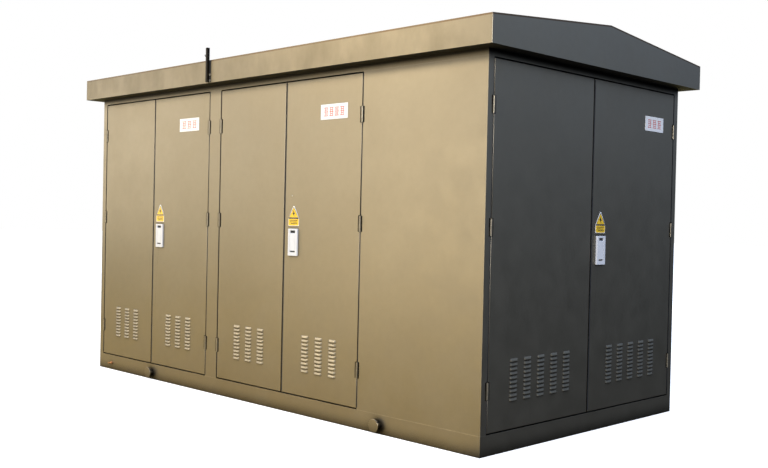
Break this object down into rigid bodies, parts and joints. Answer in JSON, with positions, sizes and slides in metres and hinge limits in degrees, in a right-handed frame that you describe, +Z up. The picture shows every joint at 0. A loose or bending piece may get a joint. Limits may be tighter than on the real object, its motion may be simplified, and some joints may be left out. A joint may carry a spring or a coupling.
{
  "type": "kiosk substation transformer",
  "caption": "Pad-mounted kiosk substation: sheet steel house with gabled roof, three rooms with double doors, rod locks, louvres, and transformer and switchgear inside.",
  "frame": {"origin": "centre of the base frame's underside, midway between the four anchor holes", "axes": "+X along the length towards the HV doors, -Y the long front with the LV and transformer doors, +Z up"},
  "size_m": [4.46, 2.382, 2.575],
  "materials": {
    "body_paint": "satin",
    "galvanised": "satin",
    "bolt_steel": "satin",
    "brass": "satin",
    "lock_metal": "satin",
    "sign_plate": "gloss",
    "tank_paint": "gloss",
    "porcelain": "gloss",
    "core_steel": "matte",
    "cabinet_paint": "satin",
    "cable_black": "matte",
    "handle_plastic": "matte"
  },
  "bodies": {
    "housing": {"base_frame": "body_paint", "lifting_trunnions": "body_paint", "earthing_studs": "brass", "floor_plates": "galvanised", "door_frames": "body_paint", "front_wall": "body_paint", "rear_wall": "body_paint", "left_end_wall": "body_paint", "right_end_wall": "body_paint", "rear_vent_panels": "body_paint", "partition_walls": "galvanised", "roof_shell": "body_paint", "roof_post": "body_paint", "roof_post_bolts": "bolt_steel", "hinge_frame_halves": "body_paint", "transformer_tank": "tank_paint", "transformer_lid": "tank_paint", "transformer_bushings": "porcelain", "core_and_windings": "core_steel", "lv_switchboard": "cabinet_paint", "hv_switchgear": "cabinet_paint", "hv_cables": "cable_black"},
    "lv_left_door": {"lv_left_door_skin": "body_paint", "lv_left_door_frame": "body_paint", "lv_left_door_hinges": "body_paint"},
    "lv_right_door": {"lv_right_door_skin": "body_paint", "lv_right_door_frame": "body_paint", "lv_right_door_hinges": "body_paint", "lv_door_signs": "sign_plate", "lv_lock_plate": "lock_metal"},
    "tx_left_door": {"tx_left_door_skin": "body_paint", "tx_left_door_frame": "body_paint", "tx_left_door_hinges": "body_paint"},
    "tx_right_door": {"tx_right_door_skin": "body_paint", "tx_right_door_frame": "body_paint", "tx_right_door_hinges": "body_paint", "tx_door_signs": "sign_plate", "tx_lock_plate": "lock_metal"},
    "hv_left_door": {"hv_left_door_skin": "body_paint", "hv_left_door_frame": "body_paint", "hv_left_door_hinges": "body_paint"},
    "hv_right_door": {"hv_right_door_skin": "body_paint", "hv_right_door_frame": "body_paint", "hv_right_door_hinges": "body_paint", "hv_door_signs": "sign_plate", "hv_lock_plate": "lock_metal"},
    "lv_lock_flap": {"lv_lock_flap": "lock_metal"},
    "lv_lock_spindle": {"lv_lock_spindle": "bolt_steel"},
    "lv_upper_rod": {"lv_upper_rod": "galvanised"},
    "lv_lower_rod": {"lv_lower_rod": "galvanised"},
    "tx_lock_flap": {"tx_lock_flap": "lock_metal"},
    "tx_lock_spindle": {"tx_lock_spindle": "bolt_steel"},
    "tx_upper_rod": {"tx_upper_rod": "galvanised"},
    "tx_lower_rod": {"tx_lower_rod": "galvanised"},
    "hv_lock_flap": {"hv_lock_flap": "lock_metal"},
    "hv_lock_spindle": {"hv_lock_spindle": "bolt_steel"},
    "hv_upper_rod": {"hv_upper_rod": "galvanised"},
    "hv_lower_rod": {"hv_lower_rod": "galvanised"},
    "lv_breaker_handle": {"lv_breaker_handle": "handle_plastic"},
    "hv_switch_handle": {"hv_switch_handle": "handle_plastic"}
  },
  "joints": [
    {"name": "lv_left_door_swing", "type": "hinge", "parent": "housing", "child": "lv_left_door", "pos_m": [-2.06, -1.07, 1.19], "axis": [0, 0, -1], "range_deg": [0, 110]},
    {"name": "lv_right_door_swing", "type": "hinge", "parent": "housing", "child": "lv_right_door", "pos_m": [-0.55, -1.07, 1.19], "axis": [0, 0, 1], "range_deg": [0, 90]},
    {"name": "tx_left_door_swing", "type": "hinge", "parent": "housing", "child": "tx_left_door", "pos_m": [-0.4, -1.07, 1.19], "axis": [0, 0, -1], "range_deg": [0, 90]},
    {"name": "tx_right_door_swing", "type": "hinge", "parent": "housing", "child": "tx_right_door", "pos_m": [1.11, -1.07, 1.19], "axis": [0, 0, 1], "range_deg": [0, 110]},
    {"name": "hv_left_door_swing", "type": "hinge", "parent": "housing", "child": "hv_left_door", "pos_m": [2.12, -1.015, 1.19], "axis": [0, 0, -1], "range_deg": [0, 110]},
    {"name": "hv_right_door_swing", "type": "hinge", "parent": "housing", "child": "hv_right_door", "pos_m": [2.12, 1.015, 1.19], "axis": [0, 0, 1], "range_deg": [0, 110]},
    {"name": "lv_lock_flap_lift", "type": "hinge", "parent": "lv_right_door", "child": "lv_lock_flap", "pos_m": [-1.2, -1.078, 1.218], "axis": [-1, 0, 0], "range_deg": [0, 60]},
    {"name": "lv_lock_turn", "type": "hinge", "parent": "lv_right_door", "child": "lv_lock_spindle", "pos_m": [-1.2, -1.07, 1.15], "axis": [0, 1, 0], "range_deg": [0, 90]},
    {"name": "lv_upper_rod_slide", "type": "slide", "parent": "lv_right_door", "child": "lv_upper_rod", "axis": [0, 0, 1], "range_m": [0, 0.02828]},
    {"name": "lv_lower_rod_slide", "type": "slide", "parent": "lv_right_door", "child": "lv_lower_rod", "axis": [0, 0, -1], "range_m": [0, 0.0285]},
    {"name": "tx_lock_flap_lift", "type": "hinge", "parent": "tx_right_door", "child": "tx_lock_flap", "pos_m": [0.46, -1.078, 1.218], "axis": [-1, 0, 0], "range_deg": [0, 60]},
    {"name": "tx_lock_turn", "type": "hinge", "parent": "tx_right_door", "child": "tx_lock_spindle", "pos_m": [0.46, -1.07, 1.15], "axis": [0, 1, 0], "range_deg": [0, 90]},
    {"name": "tx_upper_rod_slide", "type": "slide", "parent": "tx_right_door", "child": "tx_upper_rod", "axis": [0, 0, 1], "range_m": [0, 0.02828]},
    {"name": "tx_lower_rod_slide", "type": "slide", "parent": "tx_right_door", "child": "tx_lower_rod", "axis": [0, 0, -1], "range_m": [0, 0.0285]},
    {"name": "hv_lock_flap_lift", "type": "hinge", "parent": "hv_right_door", "child": "hv_lock_flap", "pos_m": [2.128, 0.105, 1.218], "axis": [0, -1, 0], "range_deg": [0, 60]},
    {"name": "hv_lock_turn", "type": "hinge", "parent": "hv_right_door", "child": "hv_lock_spindle", "pos_m": [2.12, 0.105, 1.15], "axis": [-1, 0, 0], "range_deg": [0, 90]},
    {"name": "hv_upper_rod_slide", "type": "slide", "parent": "hv_right_door", "child": "hv_upper_rod", "axis": [0, 0, 1], "range_m": [0, 0.02828]},
    {"name": "hv_lower_rod_slide", "type": "slide", "parent": "hv_right_door", "child": "hv_lower_rod", "axis": [0, 0, -1], "range_m": [0, 0.0285]},
    {"name": "lv_breaker_turn", "type": "hinge", "parent": "housing", "child": "lv_breaker_handle", "pos_m": [-1.31, -0.1605, 1.62], "axis": [0, 1, 0], "range_deg": [0, 90]},
    {"name": "hv_switch_turn", "type": "hinge", "parent": "housing", "child": "hv_switch_handle", "pos_m": [1.8025, 0, 1.25], "axis": [-1, 0, 0], "range_deg": [0, 90]}
  ],
  "couplings": [
    {"joint": "lv_lock_turn", "follows": "lv_upper_rod_slide", "rad_per_m": 55.536},
    {"joint": "lv_lower_rod_slide", "follows": "lv_upper_rod_slide", "ratio": 1},
    {"joint": "tx_lock_turn", "follows": "tx_upper_rod_slide", "rad_per_m": 55.536},
    {"joint": "tx_lower_rod_slide", "follows": "tx_upper_rod_slide", "ratio": 1},
    {"joint": "hv_lock_turn", "follows": "hv_upper_rod_slide", "rad_per_m": 55.536},
    {"joint": "hv_lower_rod_slide", "follows": "hv_upper_rod_slide", "ratio": 1}
  ]
}
